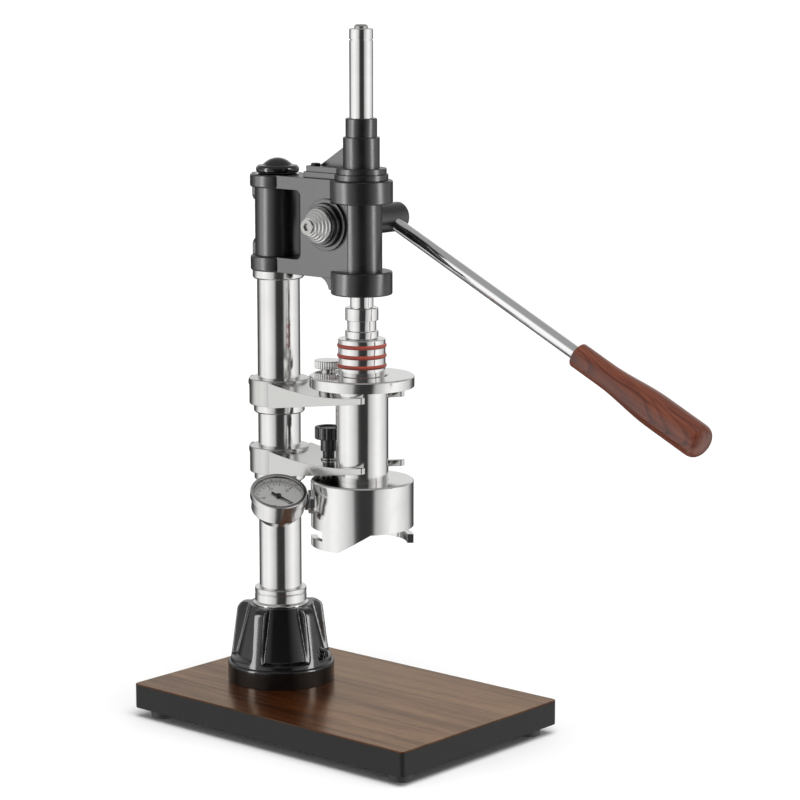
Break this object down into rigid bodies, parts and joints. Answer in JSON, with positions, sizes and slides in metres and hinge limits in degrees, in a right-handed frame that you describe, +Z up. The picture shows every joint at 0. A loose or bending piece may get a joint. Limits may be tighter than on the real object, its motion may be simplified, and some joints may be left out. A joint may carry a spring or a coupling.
{
  "type": "manual lever espresso machine",
  "caption": "Manual lever espresso press: a lever turns a pinion that drives a rack and piston down a cylinder into a bayonet group over a wooden board.",
  "frame": {"origin": "on the table plane under the centre of the board, level with the feet's undersides", "axes": "+X to the front along the board, towards the user, +Y to the side that carries the lever, +Z up"},
  "size_m": [0.4663, 0.195, 0.5816],
  "materials": {
    "black_board": "black painted fibreboard, satin",
    "walnut": "walnut veneer, satin lacquer",
    "rubber": "matt black rubber",
    "black_gloss": "gloss black enamel on a casting",
    "black_satin": "satin black powder coat",
    "black_plastic": "moulded black plastic",
    "polished_steel": "polished stainless steel",
    "polished_alloy": "polished cast alloy",
    "machined_steel": "fine turned steel",
    "screw_steel": "bright zinc-plated steel",
    "dark_screw": "blackened steel",
    "chrome": "bright chrome",
    "gauge_steel": "bright pressed steel",
    "brass": "turned brass",
    "silicone": "red-brown silicone rubber",
    "rosewood": "oiled rosewood",
    "glass": "clear flat glass",
    "dial_white": "pale printed dial",
    "needle_black": "matt black"
  },
  "bodies": {
    "stand": {"base_board": "black_board", "board_veneer": "walnut", "rubber_feet": "rubber", "group_gasket": "rubber", "base_socket": "black_gloss", "head_casting": "black_satin", "rack_guide": "black_satin", "guide_plate": "black_satin", "column_sleeve": "black_satin", "column_cap": "black_plastic", "column_tube": "polished_steel", "brew_cylinder": "polished_steel", "cylinder_flange": "polished_steel", "group_head": "polished_steel", "base_ferrule": "polished_steel", "lower_arm_collar": "polished_steel", "upper_arm_collar": "polished_steel", "head_collar": "polished_steel", "lower_arm": "polished_alloy", "upper_arm": "polished_alloy", "shower_screen": "machined_steel", "foot_screws": "screw_steel", "socket_bolts": "screw_steel", "arm_clamp_screws": "screw_steel", "head_clamp_screws": "screw_steel", "guide_screws": "screw_steel", "screen_screw": "screw_steel", "socket_set_screw": "dark_screw", "bearing_nut": "chrome", "gauge_bezel": "chrome", "gauge_case": "gauge_steel", "gauge_stem": "gauge_steel", "gauge_lock_nut": "gauge_steel", "dispersion_block": "brass", "lower_rack_bush": "brass", "upper_rack_bush": "brass", "near_pinion_bush": "brass", "bearing_cover": "brass", "gauge_glass": "glass", "gauge_dial": "dial_white"},
    "lever": {"pinion_shaft": "machined_steel", "shaft_end_cap": "chrome", "shaft_end_screw": "screw_steel", "lever_hub": "black_satin", "hub_lock_screw": "dark_screw", "lever_rod": "polished_steel", "handle_grip": "rosewood"},
    "ram": {"rack_bar": "machined_steel", "rack_end_cap": "polished_steel", "rack_end_screw": "screw_steel", "piston_coupler": "machined_steel", "piston": "machined_steel", "piston_seals": "silicone"},
    "needle": {"gauge_needle": "needle_black"},
    "lower_knob": {"arm_knob": "black_plastic", "arm_knob_stud": "machined_steel"},
    "upper_screw": {"flange_screw": "polished_steel"}
  },
  "joints": [
    {"name": "lever_turn", "type": "hinge", "parent": "stand", "child": "lever", "pos_m": [-0.0005, 0, 0.4213], "axis": [0, 1, 0], "range_deg": [-25, 208]},
    {"name": "rack_slide", "type": "slide", "parent": "stand", "child": "ram", "axis": [0, 0, -1], "range_m": [-0.0073, 0.06]},
    {"name": "needle_turn", "type": "hinge", "parent": "stand", "child": "needle", "pos_m": [-0.01924, -0.05646, 0.20062], "axis": [-0.3454, 0.2699, -0.8988], "range_deg": [0, 270]},
    {"name": "lower_knob_turn", "type": "hinge", "parent": "stand", "child": "lower_knob", "pos_m": [-0.0153, 0, 0.23], "axis": [0, 0, 1], "continuous": true},
    {"name": "upper_screw_turn", "type": "hinge", "parent": "stand", "child": "upper_screw", "pos_m": [-0.0153, 0, 0.2992], "axis": [0, 0, 1], "continuous": true}
  ],
  "couplings": [
    {"joint": "rack_slide", "follows": "lever_turn", "m_per_rad": 0.0165}
  ]
}
